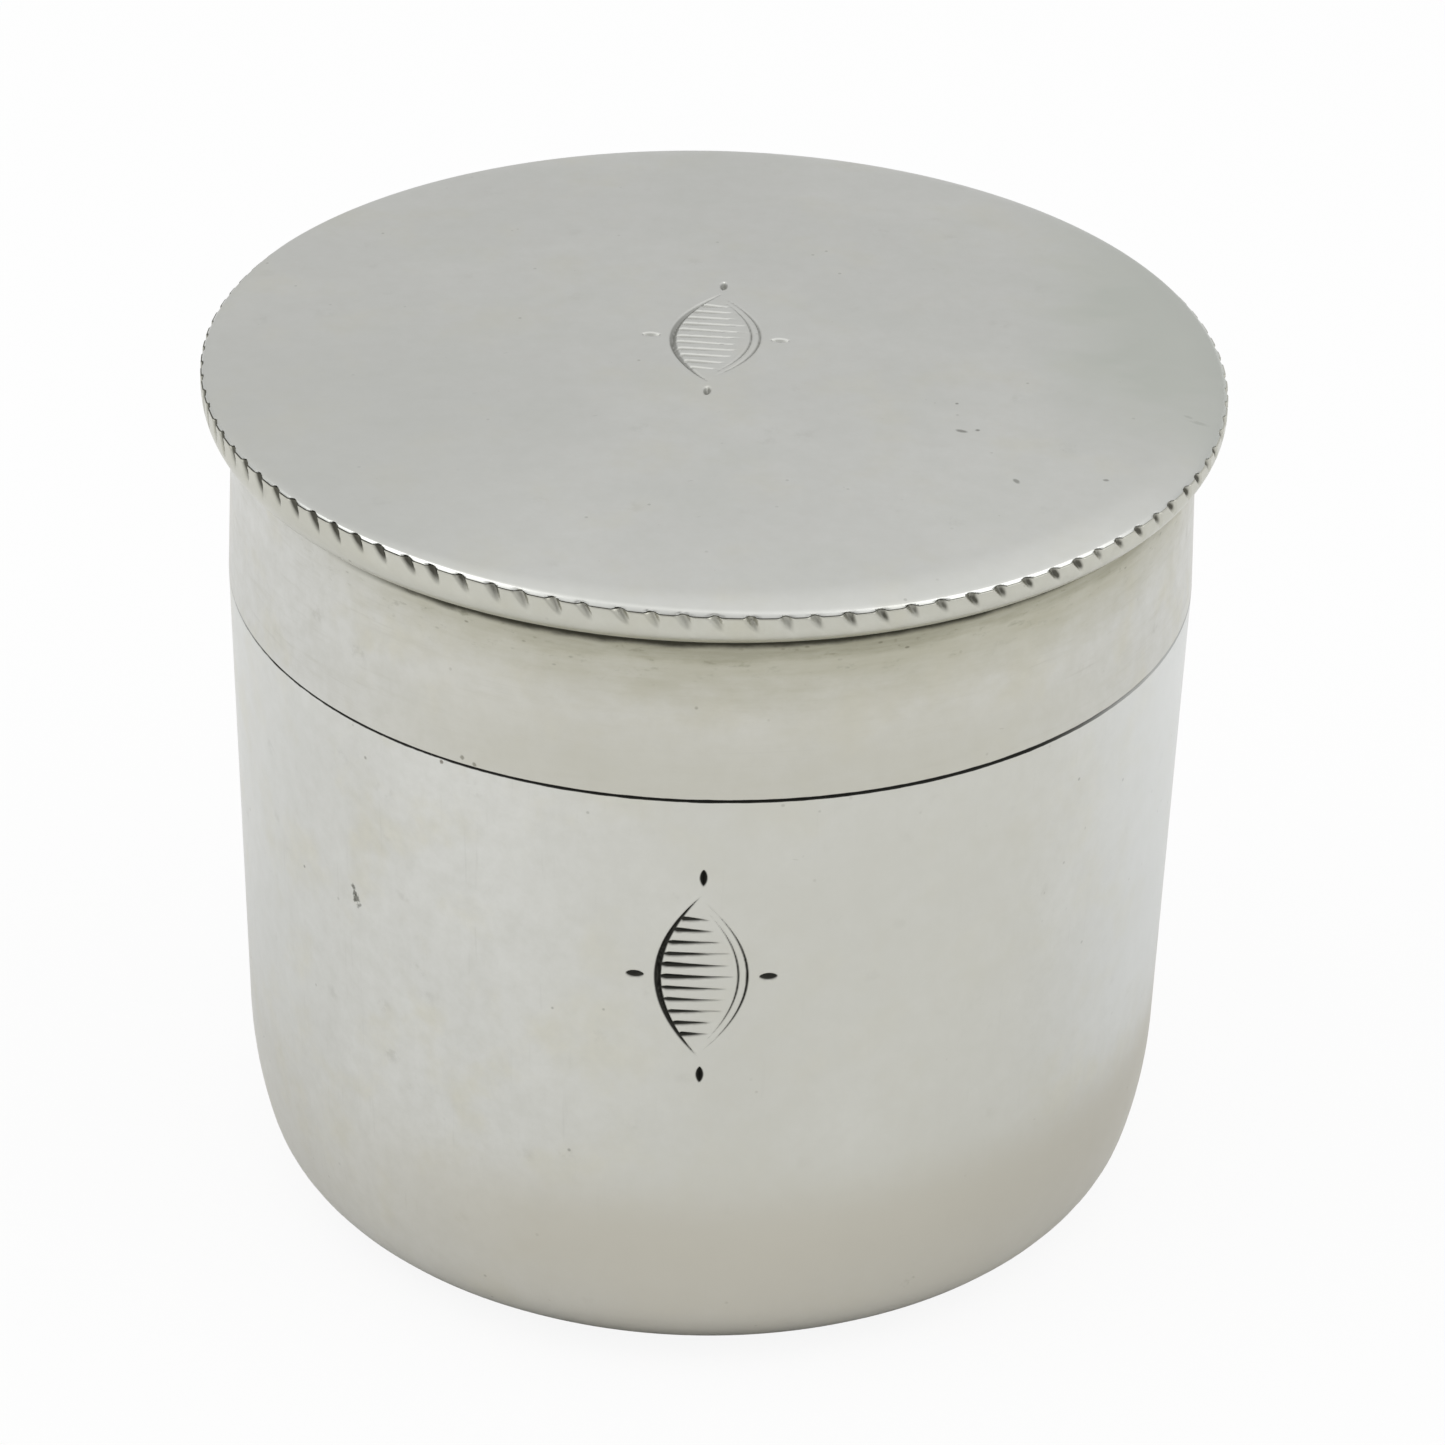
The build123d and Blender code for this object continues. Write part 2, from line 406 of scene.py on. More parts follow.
def brush(finish, sizes, amount, seed):
    """Fine hairs left by rubbing one way, with gaps between them."""
    hairs = finish.cloud(sizes, seed, detail=2).step(0.6, 0.8)
    hairs = hairs * finish.cloud(2.5 * mm, seed + 1, rough=0.6).step(0.4, 0.62)
    finish.colour = finish.blend(hairs * amount, finish.colour, (0.3, 0.29, 0.25, 1))
    finish.height = finish.height - hairs * amount * 0.3


def stain(finish, amount, colour, dull=0.1):
    """Darkens or colours the finish where amount is 1, and dulls it there."""
    finish.colour = finish.blend(amount, finish.colour, colour)
    finish.gloss = finish.gloss + amount * dull


def settle(finish):
    """Feeds what the finish has worked out to the surface, which is nowhere polished to a mirror."""
    smoothest = 0.285
    bump_height = 0.02 * mm
    surface = finish.nodes["Principled BSDF"]
    surface.inputs["Metallic"].default_value = 1.0
    finish.feed(surface.inputs["Base Color"], finish.colour)
    finish.feed(surface.inputs["Roughness"], finish.gloss.over(smoothest))
    relief = finish.node("Bump", {}, Strength=1.0, Distance=bump_height, Height=finish.height)
    finish.feed(surface.inputs["Normal"], relief)
    return finish.holder


def darken_cuts(finish, share, colour=(0.02, 0.02, 0.016, 1), full=0.6):
    """Darkens the bottoms of old cuts, where polish never reaches, fully from a value of full."""
    cut = finish.node("Attribute", {"attribute_name": "cut"}, output="Fac")
    stain(finish, cut.step(0.05, full) * share, colour, 0.15)


def paint_seam_shade(finish):
    """Paints shade in the seam between cup and lid: wider towards +X, and fainter at both sides."""
    widening = 0.0012
    side = finish.axis(0)
    waver = (finish.cloud(0.9 * mm, 8, rough=0.6) - 0.5) * 0.05 * mm
    away = (finish.axis(2) - cup_height).size() + waver - side * widening
    faded = 1 - side.step(12 * mm, 18.6 * mm) * 0.75 - side.step(-16.5 * mm, -18.8 * mm) * 0.8
    stain(finish, away.step(0.085 * mm, 0.055 * mm) * faded * 0.97, (0.012, 0.012, 0.01, 1), 0.3)


cup_silver = silver("cup_silver", (0.712, 0.712, 0.678, 1), gloss=0.34, wear=1.1, seed=1)
brush(cup_silver, (0.16 * mm, 0.16 * mm, 5 * mm), 0.12, seed=7)
height, side = cup_silver.axis(2), cup_silver.axis(0)
foot_cloud = cup_silver.cloud(4 * mm, 21, detail=4, rough=0.6)

# Warm in front, browner low down and warmer towards the foot, each darkened in part by painted shade;
# a painted shadow where it stands, and a painted lighter reflection towards the sides.
warm_tone, low_tone, foot_tone = (0.61, 0.605, 0.55, 1), (0.55, 0.53, 0.46, 1), (0.6, 0.575, 0.505, 1)
painted_shadow_tone, painted_side_sheen_tone = (0.3, 0.3, 0.27, 1), (0.76, 0.775, 0.765, 1)
# The warmth is the silver's tone; the darkening in front is painted shade.
warm = side.step(-10 * mm, 2 * mm) * side.step(17.5 * mm, 10 * mm) * height.step(1 * mm, 6 * mm)
stain(cup_silver, warm * (foot_cloud * 0.7 + 0.4), warm_tone, 0.02)
# Painted shade low down, most towards +X, with a browner tone.
low_tone_and_shade = height.step(10 * mm, 6.5 * mm) * height.step(1.5 * mm, 6 * mm)
stain(cup_silver, low_tone_and_shade * side.step(-16 * mm, -4 * mm) * 0.85, low_tone, 0.02)
# Warmer towards the foot, and darker there with painted shade.
foot_tone_and_shade = height.step(12 * mm, 1 * mm) * (side.step(-15 * mm, 0) * 0.5 + 0.5)
stain(cup_silver, foot_tone_and_shade * (foot_cloud * 0.6 + 0.5), foot_tone, 0.05)
# Painted shadow: the dark reflection of the table's shadow along the lowest edge.
stain(cup_silver, height.step(1.6 * mm, 0.7 * mm) * 0.55, painted_shadow_tone, 0.1)
# Painted reflection: lighter and bluer towards the flanks, high up, most towards +X.
painted_side_sheen = side.size().step(13 * mm, 19 * mm) * 0.35 + side.step(12 * mm, 18 * mm) * 0.4
stain(cup_silver, painted_side_sheen * height.step(7 * mm, 13 * mm), painted_side_sheen_tone, 0)

# A scuff is a few dark spots: degrees round the box, then height and half size in millimetres.
dirt, snag_dirt, smudge_grey = (0.1, 0.1, 0.08, 1), (0.12, 0.1, 0.07, 1), (0.3, 0.3, 0.22, 1)
scuff = [(-45.5, 18.95, 0.16), (-45.3, 18.7, 0.13), (-45.0, 18.5, 0.22)]
scuff += [(-44.75, 18.25, 0.16), (-45.4, 18.35, 0.1)]
for degrees, level, size in scuff:
    place = ring_point(math.radians(degrees), *wall_point(level * mm))
    stain(cup_silver, cup_silver.spot(place, size * mm, ragged=2.0) * 0.75, dirt)
place = ring_point(math.radians(-31.4), cup_radius, cup_height - 0.16 * mm)
stain(cup_silver, cup_silver.spot(place, 0.12 * mm, ragged=1.5) * 0.7, snag_dirt)
place = (8.2 * mm, -15.0 * mm, 3.2 * mm)
smudge = cup_silver.spot(place, (0.6 * mm, 1.0 * mm, 1.0 * mm), (0.4, 0.5, 0), ragged=1.3)
stain(cup_silver, smudge * 0.6, smudge_grey)
darken_cuts(cup_silver, 0.96)
paint_seam_shade(cup_silver)
finished(cup, "cup", settle(cup_silver), "cup", "body_shell")


# ---------------------------------------------------------------------------------------------
# The collar: a thin sleeve of silver soldered in the cup's mouth. It stands up inside the lid
# and is rubbed bright where the lid slides over it.
# ---------------------------------------------------------------------------------------------
collar_low, collar_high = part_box("inner_collar")
collar_radius = collar_high[0]
collar_thickness = 0.5 * mm
collar_bore = collar_radius - collar_thickness
collar_round = 0.2 * mm
collar_bevel = 0.05 * mm
collar = bmesh.new()
collar_line = [(collar_bore, collar_low[2]), (collar_radius, collar_low[2])]
collar_line += arc_points(
    (collar_radius - collar_round, collar_high[2] - collar_round), collar_round, 0, math.pi / 2, 6
)
collar_line += [(collar_bore + collar_bevel, collar_high[2])]
collar_line += [(collar_bore, collar_high[2] - collar_bevel)]
turn(collar, ring(collar, 256), collar_line + collar_line[:1])
close_up(collar)
collar_silver = silver("collar_silver", (0.74, 0.735, 0.7, 1), gloss=0.28, wear=0.7, seed=11)
brush(collar_silver, (0.12 * mm, 0.12 * mm, 6 * mm), 0.4, seed=12)
finished(collar, "collar", settle(collar_silver), "cup", "inner_collar")


# ---------------------------------------------------------------------------------------------
# The lid's band: a strip of silver soldered into a ring, flush with the cup at the seam. It is
# brushed round, and has tarnished olive under the border, where a cloth doesn't reach, with
# painted shade right under the wire.
# ---------------------------------------------------------------------------------------------
band_low, band_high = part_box("lid_band")
wire_low, wire_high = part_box("rope_border")
band_radius = band_high[0]
band_lean = 0.25 * mm  # how far its top stands in from its foot
band_top_radius = band_radius - band_lean
slip = 0.05 * mm  # room between collar and band
band_bore = collar_radius + slip
band = bmesh.new()
band_line = [(band_bore, band_low[2] + lip_bevel), (band_bore + lip_bevel, band_low[2])]
band_line += [(band_radius - lip_bevel, band_low[2])]
band_foot = (band_radius, band_low[2] + lip_bevel)
band_line += level_points(band_foot, (band_top_radius, band_high[2]), 0.5 * mm)
band_line += [(band_bore, band_high[2])]
turn(band, ring(band, 360), band_line + band_line[:1])
close_up(band)
band_silver = silver("band_silver", (0.69, 0.69, 0.66, 1), gloss=0.36, wear=1.4, seed=31)
height, side = band_silver.axis(2), band_silver.axis(0)
brush(band_silver, (7 * mm, 7 * mm, 0.14 * mm), 0.2, seed=36)
streaks = band_silver.cloud((3.2 * mm, 3.2 * mm, 0.3 * mm), 32, detail=4, rough=0.65)
blotches = band_silver.cloud((2.4 * mm, 2.4 * mm, 1.0 * mm), 33, detail=5, rough=0.68)
flecks = band_silver.cloud((0.9 * mm, 0.9 * mm, 0.35 * mm), 37, detail=4, rough=0.7)

# Streaked all over, and warmer in front, most of all at its foot.
streak_tone, warm_tone, foot_tone = (0.5, 0.49, 0.43, 1), (0.59, 0.575, 0.5, 1), (0.56, 0.55, 0.48, 1)
stain(band_silver, (streaks - 0.5).step(0.02, 0.3) * 0.35, streak_tone, 0.05)
warm = side.step(-17 * mm, -6 * mm) * side.step(20 * mm, 8 * mm)
stain(band_silver, warm * (blotches * 0.7 + 0.25), warm_tone, 0.03)
foot_warm = warm * height.step(band_low[2] + 3.5 * mm, band_low[2] + 1 * mm)
stain(band_silver, foot_warm * 0.45, foot_tone, 0.03)
for degrees, rise in ((-28.6, 0.3), (-27.0, 0.16)):
    place = ring_point(math.radians(degrees), band_radius, band_low[2] + rise * mm)
    stain(band_silver, band_silver.spot(place, 0.12 * mm, ragged=1.5) * 0.6, (0.16, 0.15, 0.11, 1))

# Tarnish creeps down from the border, further towards +X, with flecks and grit in it. Under the
# wire it is darkened by painted shade, softly below and nearly black right under it, together
# with dirt in the crevice.
tarnish_tone, fleck_tone = (0.47, 0.455, 0.355, 1), (0.26, 0.255, 0.19, 1)
grit_tone, shade_tone = (0.12, 0.115, 0.08, 1), (0.26, 0.25, 0.18, 1)
crevice_dirt_and_shade_tone = (0.075, 0.073, 0.054, 1)
below_wire = wire_low[2] - height
reach = side.step(-19 * mm, 2 * mm) * 1.9 * mm + blotches * 2.6 * mm
tarnish = (below_wire - reach).step(0.9 * mm, -2.6 * mm)
tarnish = tarnish * side.step(-18 * mm, -9 * mm) * side.step(23 * mm, 14 * mm)
stain(band_silver, tarnish * (streaks * 0.7 + 0.55) * 0.85, tarnish_tone, 0.08)
dirty = below_wire.step(2.6 * mm, 0.3 * mm) * side.step(-18 * mm, -10 * mm)
stain(band_silver, flecks.step(0.56, 0.72) * dirty * 0.55, fleck_tone, 0.1)
grit = band_silver.dots((0.8 * mm, 0.8 * mm, 0.4 * mm), 0.16, 34) * dirty
stain(band_silver, grit * blotches.step(0.4, 0.65) * 0.75, grit_tone)
# Painted shade, soft and brown, below the wire.
shade = (below_wire - blotches * 0.9 * mm).step(0.75 * mm, 0.1 * mm)
shade = shade * side.step(-13 * mm, 0) * (streaks * 0.8 + 0.15)
stain(band_silver, shade * 0.8, shade_tone, 0.1)
# Dirt in the crevice and painted shade: nearly black right under the wire.
crevice_dirt_and_shade = below_wire + (blotches - 0.5) * 0.3 * mm + (streaks - 0.5) * 0.1 * mm
crevice_dirt_and_shade = crevice_dirt_and_shade.step(0.52 * mm, 0.24 * mm) * side.step(-16 * mm, -9 * mm)
stain(band_silver, crevice_dirt_and_shade, crevice_dirt_and_shade_tone, 0.3)
paint_seam_shade(band_silver)
finished(band, "band", settle(band_silver), "lid", "lid_band")


# ---------------------------------------------------------------------------------------------
# The border: a half-round wire soldered round the band under the plate's edge, and notched all
# the way round with a graver. Each notch starts wide in the plate's edge and runs to a point.
# ---------------------------------------------------------------------------------------------
wire_radius = min(wire_high[0], wire_high[1], -wire_low[0], -wire_low[1])
wire_seat = band_radius - 0.2 * mm  # the wire's inner face, against the band
wire_flat = 0.4 * mm
wire_corner = 0.015 * mm
joint_level = wire_high[2] - 0.01 * mm
joint_tilt = 0.3 * mm  # the plate was soldered on a little out of level, and isn't quite flat
joint_tilt_turn = math.radians(10)
joint_bow = 0.15 * mm
joint_bow_turn = math.radians(40)
joint_highest = wire_high[2] + 0.4 * mm
joint_grime_reach = 0.025 * mm
solder_gap = 0.02 * mm
notch_count = 103
steps_per_notch = 14
notch_pitch = 2 * math.pi / notch_count
notch_first = math.radians(1.2)
notch_start = 0.08 * mm  # how far above the joint a notch begins
notch_dark = 0.14 * mm  # depth from which a notch is at its darkest
notches = [
    {
        "place": notch_first + (number + hand.uniform(-0.07, 0.07)) * notch_pitch,
        "half": hand.uniform(0.26, 0.32) * mm,
        "depth": hand.uniform(0.24, 0.32) * mm,
        "fall": hand.uniform(0.68, 0.85) * mm,
        "slant": hand.uniform(0.4, 0.55) * mm,
        "darkening": hand.uniform(0.24, 0.34),
        "core": hand.uniform(0.35, 1.0),
    }
    for number in range(notch_count)
]


def joint_height(angle):
    """Height of the joint between the wire and the plate."""
    tilt = joint_tilt * math.sin(angle + joint_tilt_turn)
    bow = joint_bow * (1 - math.cos(2 * angle - joint_bow_turn))
    return min(joint_level - tilt + bow, joint_highest)


def notch_dirt_and_shade(notch, angle, across, fallen):
    """How dark a notch is, across its width and down its fall: evenly dark with dirt in front, and
    on the sides darker still with painted shade, a dark core shifted to one facet and more towards -X."""
    side = max(-1, min(1, math.degrees(angle) / 15))
    reach = 1 - math.exp(-(((math.degrees(angle) + 6) / 27) ** 4))
    core_across, core_down = (across - 0.25 * side) / 0.4, (fallen - 0.32 - 0.1 * side) / 0.22
    core = math.exp(-(core_across**2) - core_down**2)
    return notch["darkening"] + 0.9 * reach * notch["core"] * core + 0.45 * reach * max(0, -side)


def notch_at(point):
    """How deep the notches go at a point of the wire or the plate's edge, and how dark they are."""
    angle = bearing(point)
    deepest, darkening = 0.0, 0.0
    nearest = round((angle - notch_first) / notch_pitch)
    for number in (nearest - 1, nearest, nearest + 1):
        notch = notches[number % notch_count]
        turns = (number - number % notch_count) * notch_pitch
        fallen = (joint_height(angle) + notch_start - point.z) / (notch["fall"] + notch_start)
        if not 0 < fallen < 1:
            continue
        aside = (angle - notch["place"] - turns) * wire_radius - notch["slant"] * (fallen - 0.4)
        half = notch["half"] * min(1, fallen * 9) ** 0.5 * (1 - fallen) ** 0.5
        depth = notch["depth"] * (1 - abs(aside / half) ** 1.5) * (1 - fallen) * min(1, fallen * 8)
        if depth > deepest:
            deepest = depth
            darkening = notch_dirt_and_shade(notch, angle, aside / half, fallen)
    return deepest, darkening


def cut_notches(corners, cut, dark):
    """Sinks the notches into corners of a mesh, and darkens them there by a share."""
    for corner in corners:
        depth, darkening = notch_at(corner.co)
        if depth > 0:
            corner.co += to_axis(corner.co) * depth
            corner[cut] = min(1, depth / notch_dark) * max(0, min(1, darkening)) * dark


def darken_joint(corners, cut, share):
    """Darkens the corners of a mesh that lie along the joint, less and less towards +X."""
    for corner in corners:
        angle = bearing(corner.co)
        if abs(corner.co.z - joint_height(angle)) < joint_grime_reach:
            darkening = 0.6 - 0.4 * math.tanh(math.degrees(angle) / 12 - 2)
            corner[cut] = max(corner[cut], share * darkening)


wire = bmesh.new()
wire_top, wire_bottom = wire_high[2], wire_low[2]
shoulder = wire_top - wire_flat
wire_line = [(wire_seat, wire_top), (wire_radius - wire_corner, wire_top)]
wire_line += level_points((wire_radius, wire_top - wire_corner), (wire_radius, shoulder), 0.06 * mm)
wire_width, wire_fall = wire_radius - wire_seat, shoulder - wire_bottom
for step in range(1, 19):
    turned = math.radians(90 * step / 18)
    out, down = wire_width * math.cos(turned), wire_fall * math.sin(turned)
    wire_line.append((wire_seat + out, shoulder - down))
turn(wire, ring(wire, notch_count * steps_per_notch), wire_line + wire_line[:1])
close_up(wire)
for corner in wire.verts:
    top = joint_height(bearing(corner.co)) - solder_gap
    stretch = (top - wire_bottom) / (wire_top - wire_bottom)
    corner.co.z = wire_bottom + (corner.co.z - wire_bottom) * stretch
cut = wire.verts.layers.float.new("cut")
face = [corner for corner in wire.verts if math.hypot(corner.co.x, corner.co.y) > wire_seat + 0.1 * mm]
cut_notches(face, cut, 1.0)
darken_joint(face, cut, 0.58)
border_silver = silver("border_silver", (0.622, 0.617, 0.552, 1), gloss=0.3, wear=0.8, seed=41)
# The wire's underside is darkened by dirt in the crevice and by painted shade.
underside_dirt_and_shade = border_silver.axis(2) + (border_silver.cloud(0.8 * mm, 42) - 0.5) * 0.15 * mm
underside_dirt_and_shade = underside_dirt_and_shade.step(wire_bottom + 0.3 * mm, wire_bottom + 0.02 * mm)
stain(border_silver, underside_dirt_and_shade * 0.8, (0.07, 0.068, 0.05, 1), 0.2)
# The notches' darkness in "cut" is dirt, and on the sides painted shade as well.
darken_cuts(border_silver, 0.92, (0.06, 0.058, 0.045, 1), 0.65)
finished(wire, "border", settle(border_silver), "lid", "rope_border", crease=50)


# ---------------------------------------------------------------------------------------------
# The lid's plate: a disc of silver raised to a very slight dome, its edge rounded over by hand,
# more on one side than on the other. A leaf like the cup's is cut a little behind its middle.
# ---------------------------------------------------------------------------------------------
plate_low, plate_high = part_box("lid_plate")
plate_radius = plate_high[0]
plate_thickness = 0.5 * mm
plate_rise = plate_high[2] - plate_low[2] - plate_thickness
edge_sag = 0.6  # share of the drop to the joint that the plate bends down by itself
edge_sag_way = math.radians(25)
slope_fall = 0.17  # share of the drop that the slope by the edge takes
slope_fall_more = 0.2  # what that share gains towards +X
slope_width = 2.4  # over the drop
corner_width = 1.1  # over what is left of the drop
slope_rings = 10
corner_rings = 4
spread_rings = 11

lid_leaf_offset = 1.3 * mm
lid_leaf_height = 7.8 * mm
lid_leaf_turn = math.radians(-3.5)
lid_field_width = 7.2 * mm
lid_field_height = 10.8 * mm


def dome(radius):
    """Height of the plate's top at a distance from its middle."""
    return plate_high[2] - plate_rise * (radius / plate_radius) ** 3


def edge_drop(angle):
    """How far the plate's edge comes down to the joint, at an angle round the box."""
    return dome(plate_radius) - joint_height(angle)


def plate_point(angle, radius, fall=0.0):
    """A point of the plate's top, which sags a little where the joint is low, lowered by fall."""
    facing = ((1 + math.cos(angle - edge_sag_way)) / 2) ** 2
    sag = edge_sag * edge_drop(angle) * facing * (radius / plate_radius) ** 2.5
    return ring_point(angle, radius, dome(radius) - sag - fall)


def slope_point(point, share):
    """A point of the slope towards the plate's edge, from share 0 at its inside to 1 at its corner."""
    angle = bearing(point)
    drop = edge_drop(angle)
    fall = drop * (slope_fall + slope_fall_more * max(0, math.sin(angle)))
    corner = (plate_point(angle, plate_radius).z - fall - joint_height(angle)) * corner_width
    radius = plate_radius - corner - drop * slope_width * (1 - share)
    return plate_point(angle, radius, fall * share**2.2)


def corner_point(point, share):
    """A point of the plate's rounded corner, from share 0 at the slope to 1 at the joint."""
    angle = bearing(point)
    inside = slope_point(point, 1)
    inner_radius = math.hypot(inside.x, inside.y)
    height = joint_height(angle) + (inside.z - joint_height(angle)) * (1 - share**1.3)
    return ring_point(angle, inner_radius + (plate_radius - inner_radius) * share, height)


def spread(point, steps_left):
    """The next point on the level way out to the slope, with some steps left to it."""
    goal = slope_point(point, 0)
    return point + (Vector((goal.x, goal.y, 0)) - Vector((point.x, point.y, 0))) / steps_left


plate = bmesh.new()
columns = round(lid_field_width / cut_grain)
rows = round(lid_field_height / cut_grain)
bmesh.ops.create_grid(plate, x_segments=columns, y_segments=rows, size=0.5)
bmesh.ops.scale(plate, verts=plate.verts, vec=(lid_field_width, lid_field_height, 1))
bmesh.ops.translate(plate, verts=plate.verts, vec=(0, lid_leaf_offset, 0))
rim = [edge for edge in plate.edges if edge.is_boundary]
for steps_left in range(spread_rings, 0, -1):
    rim = grow(plate, rim, lambda point: spread(point, steps_left))
bmesh.ops.subdivide_edges(plate, edges=rim, cuts=1)
rim = [edge for edge in plate.edges if edge.is_boundary]
for corner in plate.verts:
    corner.co = plate_point(bearing(corner.co), math.hypot(corner.co.x, corner.co.y))
for step in range(1, slope_rings + 1):
    rim = grow(plate, rim, lambda point: slope_point(point, step / slope_rings))
for step in range(1, corner_rings + 1):
    rim = grow(plate, rim, lambda point: corner_point(point, step / corner_rings))
rim = grow(
    plate, rim, lambda point: ring_point(bearing(point), wire_seat, joint_height(bearing(point)))
)
under = [(wire_seat, plate_low[2]), (band_bore, plate_low[2])]
for share in (1.0, 0.75, 0.5, 0.25):
    under.append((band_bore * share, dome(band_bore * share) - plate_thickness))
for radius, level in under:
    rim = grow(plate, rim, lambda point: ring_point(bearing(point), radius, level))
bmesh.ops.contextual_create(plate, geom=rim)
close_up(plate)


def on_lid_top(point):
    """Where a point of the lid's top lies about the leaf's middle, if it is near the leaf."""
    if point.z < dome(plate_radius):
        return None
    across, up = point.x, point.y - lid_leaf_offset
    if abs(across) > lid_field_width / 2 or abs(up) > lid_field_height / 2:
        return None
    cos, sin = math.cos(lid_leaf_turn), math.sin(lid_leaf_turn)
    return across * cos + up * sin, up * cos - across * sin


strokes = leaf_strokes(lid_leaf_height, leaf_width, hand)
engrave(plate, on_lid_top, strokes, lambda point: Vector((0, 0, -1)))
cut = plate.verts.layers.float["cut"]
edge_start = plate_radius - 0.12 * mm
outermost = [corner for corner in plate.verts if math.hypot(corner.co.x, corner.co.y) > edge_start]
# The notches' starts in the plate's edge carry the same dirt and painted shade.
cut_notches(outermost, cut, 0.4)
darken_joint(outermost, cut, 0.36)
lid_silver = silver("lid_silver", (0.69, 0.695, 0.67, 1), gloss=0.3, wear=0.55, seed=51)
side, behind = lid_silver.axis(0), lid_silver.axis(1)

# Each mark is its middle and its half length and width in millimetres, and its turn in radians.
marks = [((18.65, -4.15), (0.48, 0.17), -0.1), ((18.2, -3.8), (0.25, 0.14), -0.5)]
marks += [((9.4, -6.0), (0.3, 0.15), -0.35), ((10.05, -5.9), (0.13, 0.12), 0)]
marks += [((9.3, -3.8), (0.1, 0.1), 0), ((11.4, -9.7), (0.14, 0.26), 0.5)]
marks += [((14.8, -9.2), (0.15, 0.12), 0), ((17, 1.5), (0.12, 0.09), 0)]
scratch = 0
for (x, y), (long, wide), lean in marks:
    place = (x * mm, y * mm, dome(plate_radius))
    mark = lid_silver.spot(place, (long * mm, wide * mm, 1 * mm), (0, 0, lean), ragged=0.7)
    scratch = mark.over(scratch)
stain(lid_silver, scratch * 0.7, (0.16, 0.16, 0.14, 1))

# A soft bloom, duller at the back on one side, at the front on the other, and along the worn edge.
bloom_tone, worn_tone, dull_tone = (0.56, 0.58, 0.535, 1), (0.6, 0.605, 0.58, 1), (0.58, 0.59, 0.56, 1)
bloom = lid_silver.cloud((5 * mm, 3 * mm, 5 * mm), 52).step(0.45, 0.7)
back_dull = side.step(11 * mm, 18 * mm) * behind.step(-10 * mm, 2 * mm)
stain(lid_silver, bloom * 0.15 + back_dull * (bloom * 0.5 + 1.0), bloom_tone, 0.03)
outward = lid_silver.length(lid_silver.at((1, 1, 1000)))
worn_edge = outward.step(plate_radius - 4 * mm, plate_radius - 1 * mm) * side.step(3 * mm, 12 * mm)
stain(lid_silver, worn_edge * 0.15, worn_tone, 0.05)
front_dull = side.step(-4 * mm, -13 * mm) * behind.step(6 * mm, -6 * mm)
stain(lid_silver, front_dull * 0.4, dull_tone, 0)
darken_cuts(lid_silver, 0.6, (0.2, 0.2, 0.18, 1))
finished(plate, "plate", settle(lid_silver), "lid", "lid_plate")


# ---------------------------------------------------------------------------------------------
# The table: a plain white sheet that the box stands on. It is lit nearly to white, so that only
# a faint shadow shows on it.
# ---------------------------------------------------------------------------------------------
table_reach = 2.0
table = bmesh.new()
bmesh.ops.create_grid(table, x_segments=1, y_segments=1, size=table_reach)
table_data = bpy.data.meshes.new("table")
table.to_mesh(table_data)
table.free()
table_top = bpy.data.objects.new("table", table_data)
bpy.context.scene.collection.objects.link(table_top)
table_top.location.z = -0.01 * mm  # just under the box, so that the two never lie in one plane
sheet = Finish(bpy.data.materials.new("table_white"))
paper = sheet.nodes["Principled BSDF"]
paper.inputs["Base Color"].default_value = (0.84, 0.84, 0.84, 1)
paper.inputs["Roughness"].default_value = 0.9
paper.inputs["Specular IOR Level"].default_value = 0.1
seen = sheet.node("LightPath", {}, output="Is Camera Ray")
white = sheet.node("Emission", {}, (1, 1, 1, 1), 1.0)
shown = sheet.node("MixShader", {}, seen * 0.9, Signal(sheet, paper.outputs[0]), white)
sheet.links.new(shown.socket, sheet.nodes["Material Output"].inputs["Surface"])
table_data.materials.append(sheet.holder)


# ---------------------------------------------------------------------------------------------
# The light: a white tent round the box, brightest overhead, with the dim gap in front through
# which it is looked at, and a soft lamp on either side.
# ---------------------------------------------------------------------------------------------
tent = Finish(bpy.data.worlds.new("tent"), "Generated")
bpy.context.scene.world = tent.holder
rise, across = tent.axis(2), tent.axis(0)
overhead = rise.step(0.45, 0.8) * 0.28 + rise.step(0.86, 0.99) * 0.17
glow = overhead + across.size().step(0.5, 1.0) * 0.06 + 0.69
gap_way = Vector((0, -0.84, 0.55))
facing = tent.node("VectorMath", {"operation": "DOT_PRODUCT"}, tent.place, gap_way, output=1)
glow = glow * (1 - facing.step(0.94, 0.985) * 0.55)
front_white, side_white = (1, 1, 0.995, 1), (0.985, 0.995, 1, 1)
tint = tent.blend(across.size().step(0.2, 0.9), front_white, side_white)
cloth = tent.node("Background", {}, tint, glow)
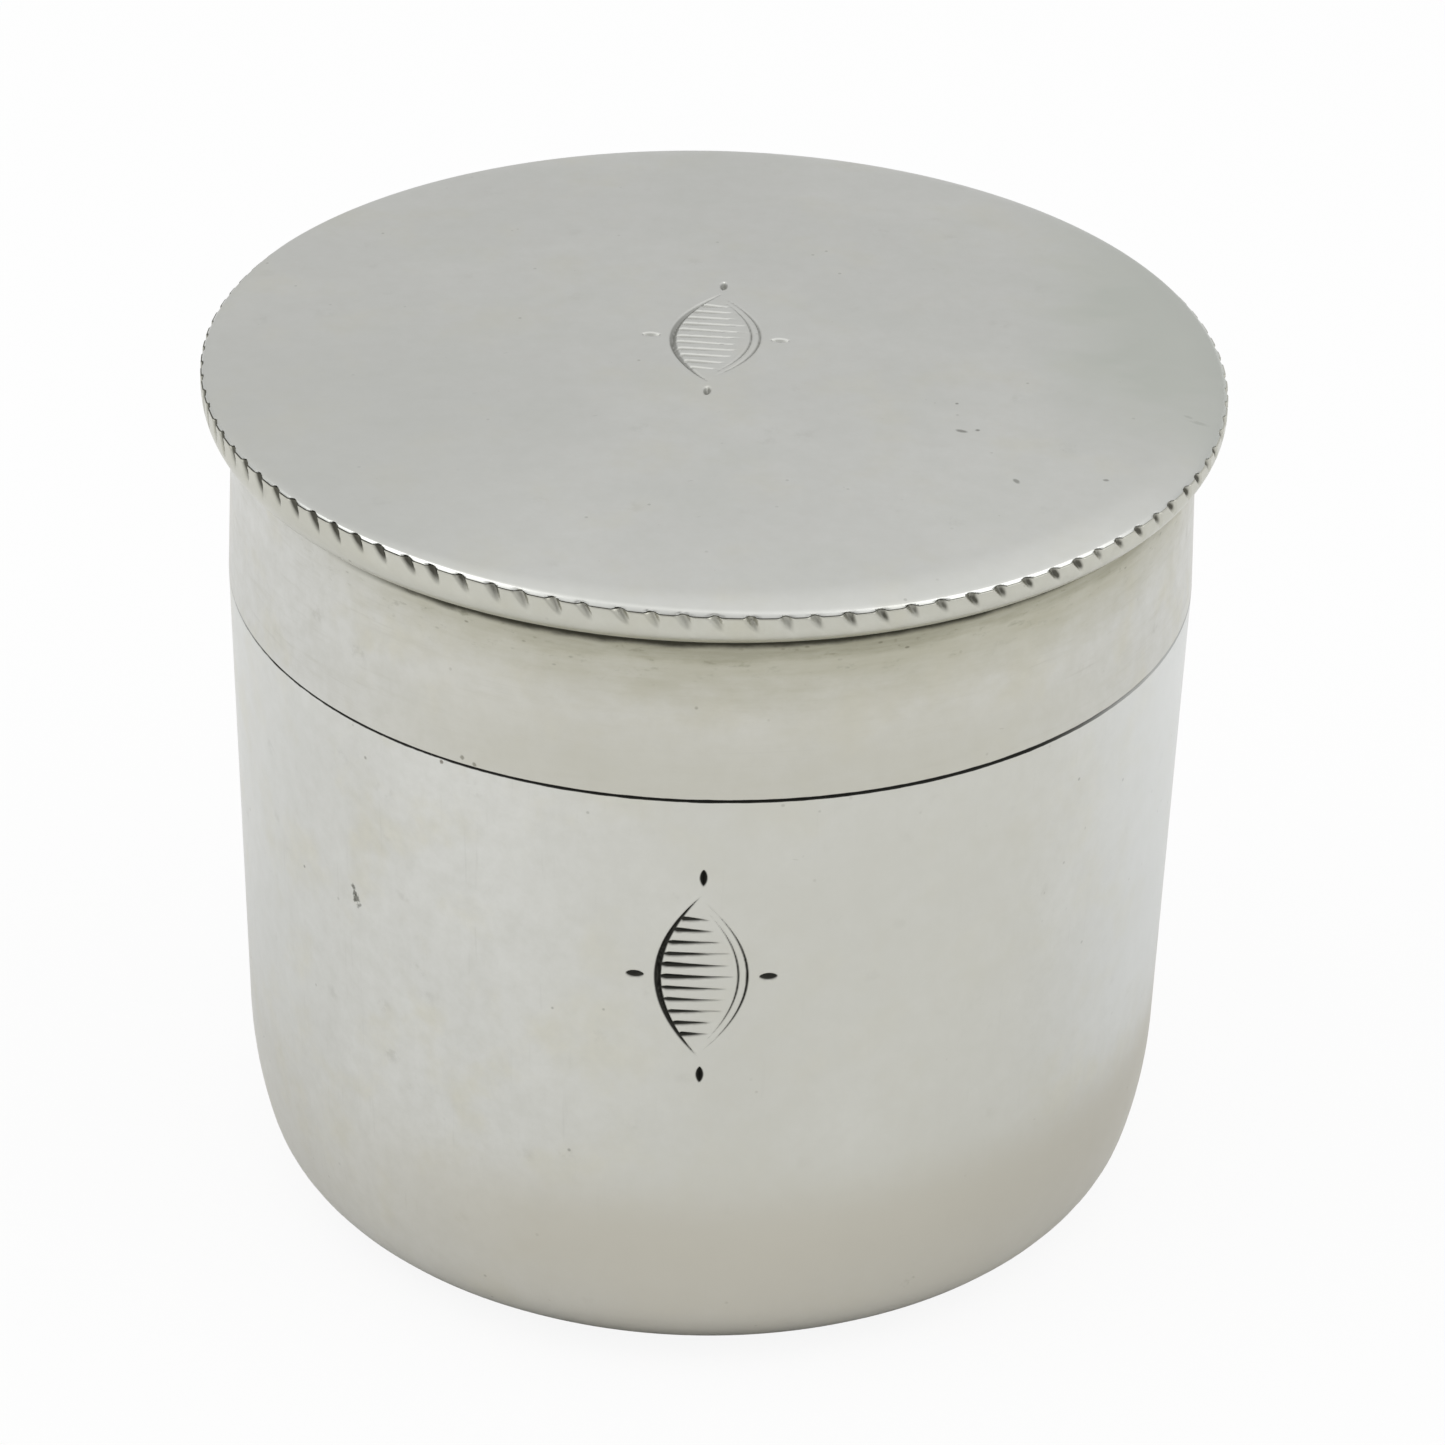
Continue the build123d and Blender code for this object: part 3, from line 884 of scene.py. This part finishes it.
backdrop = tent.node("Background", {}, (1, 1, 1, 1), 1.0)
straight = tent.node("LightPath", {}, output="Is Camera Ray")
either = tent.node("MixShader", {}, straight, cloth, backdrop)
tent.links.new(either.socket, tent.nodes["World Output"].inputs["Surface"])
lamp_size, lamp_y, lamp_height = 0.3, -0.05, 0.32
for name, x, energy in (("left_lamp", -0.3, 0.35), ("right_lamp", 0.3, 0.33)):
    light = bpy.data.lights.new(name, "AREA")
    light.shape = "SQUARE"
    light.size = lamp_size
    light.energy = energy
    lamp = bpy.data.objects.new(name, light)
    lamp.location = (x, lamp_y, lamp_height)
    lamp.rotation_euler = (-Vector(lamp.location)).to_track_quat("-Z", "Y").to_euler()
    bpy.context.scene.collection.objects.link(lamp)


# ---------------------------------------------------------------------------------------------
# The camera: a long lens, looking down on the box from in front, a little over a quarter of a
# metre away and held slightly askew.
# ---------------------------------------------------------------------------------------------
camera_distance = 266 * mm
lens_ratio = 4.417301  # focal length over the sensor's width
camera_rise = math.radians(33.24)
look_up = math.radians(3.568)
look_aside = math.radians(-0.138)
head_tilt = math.radians(-1.262)
eye = Vector((0, -camera_distance * math.cos(camera_rise), camera_distance * math.sin(camera_rise)))
ahead = Vector((0, math.cos(camera_rise), -math.sin(camera_rise)))
right = Vector((1, 0, 0))
above = right.cross(ahead)
pitched = Matrix.Rotation(look_up, 3, right)
ahead, above = pitched @ ahead, pitched @ above
turned = Matrix.Rotation(look_aside, 3, above)
ahead, right = turned @ ahead, turned @ right
rolled = Matrix.Rotation(head_tilt, 3, ahead)
right, above = rolled @ right, rolled @ above
camera_data = bpy.data.cameras.new("camera")
camera_data.sensor_width = 36.0
camera_data.lens = lens_ratio * camera_data.sensor_width
camera_data.clip_start = 0.01
camera = bpy.data.objects.new("camera", camera_data)
stand = Matrix((right, above, -ahead)).transposed().to_4x4()
camera.matrix_world = Matrix.Translation(eye) @ stand
bpy.context.scene.collection.objects.link(camera)
bpy.context.scene.camera = camera
bpy.context.scene.view_settings.view_transform = "Standard"
